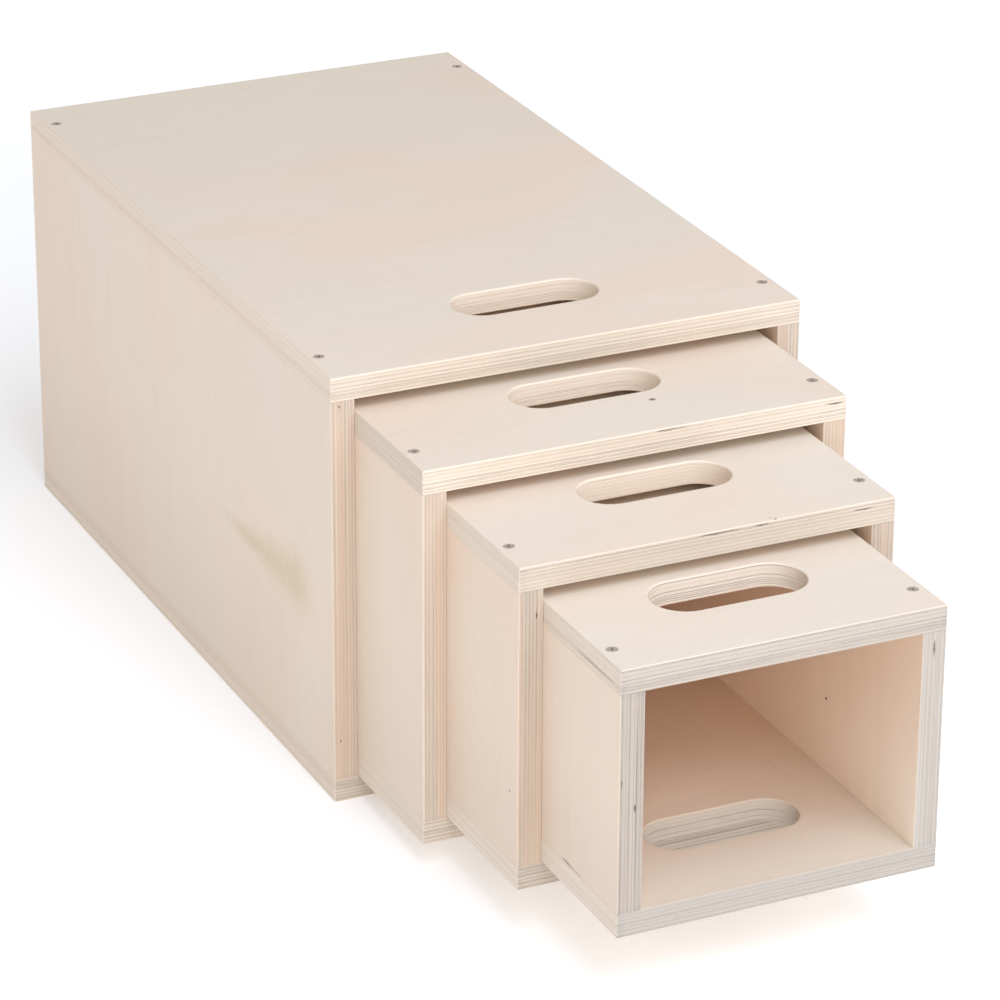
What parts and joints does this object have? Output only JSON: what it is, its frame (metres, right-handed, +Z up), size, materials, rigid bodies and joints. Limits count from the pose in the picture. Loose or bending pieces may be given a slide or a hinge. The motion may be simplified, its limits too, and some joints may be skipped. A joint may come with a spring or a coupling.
{
  "type": "nesting plywood crates",
  "caption": "Nest of open-fronted plywood crates with hand slots, each smaller one sliding out of the one around it for building, storage or carrying.",
  "frame": {"origin": "centre of the outer crate's underside, on the floor", "axes": "-Y out of the open ends, the way the inner crates pull out; +X to the right of someone who looks into the open ends; +Z up"},
  "size_m": [0.372, 0.976, 0.333],
  "materials": {
    "birch_plywood": "bare sanded birch plywood, with the plies showing on every cut edge",
    "zinc_steel": "zinc plated, dull"
  },
  "bodies": {
    "outer_crate": {"outer_crate_top_panel": "birch_plywood", "outer_crate_bottom_panel": "birch_plywood", "outer_crate_left_side": "birch_plywood", "outer_crate_right_side": "birch_plywood", "outer_crate_back_panel": "birch_plywood", "outer_crate_top_screws": "zinc_steel", "outer_crate_bottom_screws": "zinc_steel"},
    "second_crate": {"second_crate_top_panel": "birch_plywood", "second_crate_bottom_panel": "birch_plywood", "second_crate_left_side": "birch_plywood", "second_crate_right_side": "birch_plywood", "second_crate_back_panel": "birch_plywood", "second_crate_top_screws": "zinc_steel", "second_crate_bottom_screws": "zinc_steel"},
    "third_crate": {"third_crate_top_panel": "birch_plywood", "third_crate_bottom_panel": "birch_plywood", "third_crate_left_side": "birch_plywood", "third_crate_right_side": "birch_plywood", "third_crate_back_panel": "birch_plywood", "third_crate_top_screws": "zinc_steel", "third_crate_bottom_screws": "zinc_steel"},
    "inner_crate": {"inner_crate_top_panel": "birch_plywood", "inner_crate_bottom_panel": "birch_plywood", "inner_crate_left_side": "birch_plywood", "inner_crate_right_side": "birch_plywood", "inner_crate_back_panel": "birch_plywood", "inner_crate_top_screws": "zinc_steel", "inner_crate_bottom_screws": "zinc_steel"}
  },
  "joints": [
    {"name": "second_crate_slide", "type": "slide", "parent": "outer_crate", "child": "second_crate", "axis": [0, -1, 0], "range_m": [-0.117, 0.499]},
    {"name": "third_crate_slide", "type": "slide", "parent": "second_crate", "child": "third_crate", "axis": [0, -1, 0], "range_m": [-0.117, 0.48]},
    {"name": "inner_crate_slide", "type": "slide", "parent": "third_crate", "child": "inner_crate", "axis": [0, -1, 0], "range_m": [-0.117, 0.461]}
  ]
}
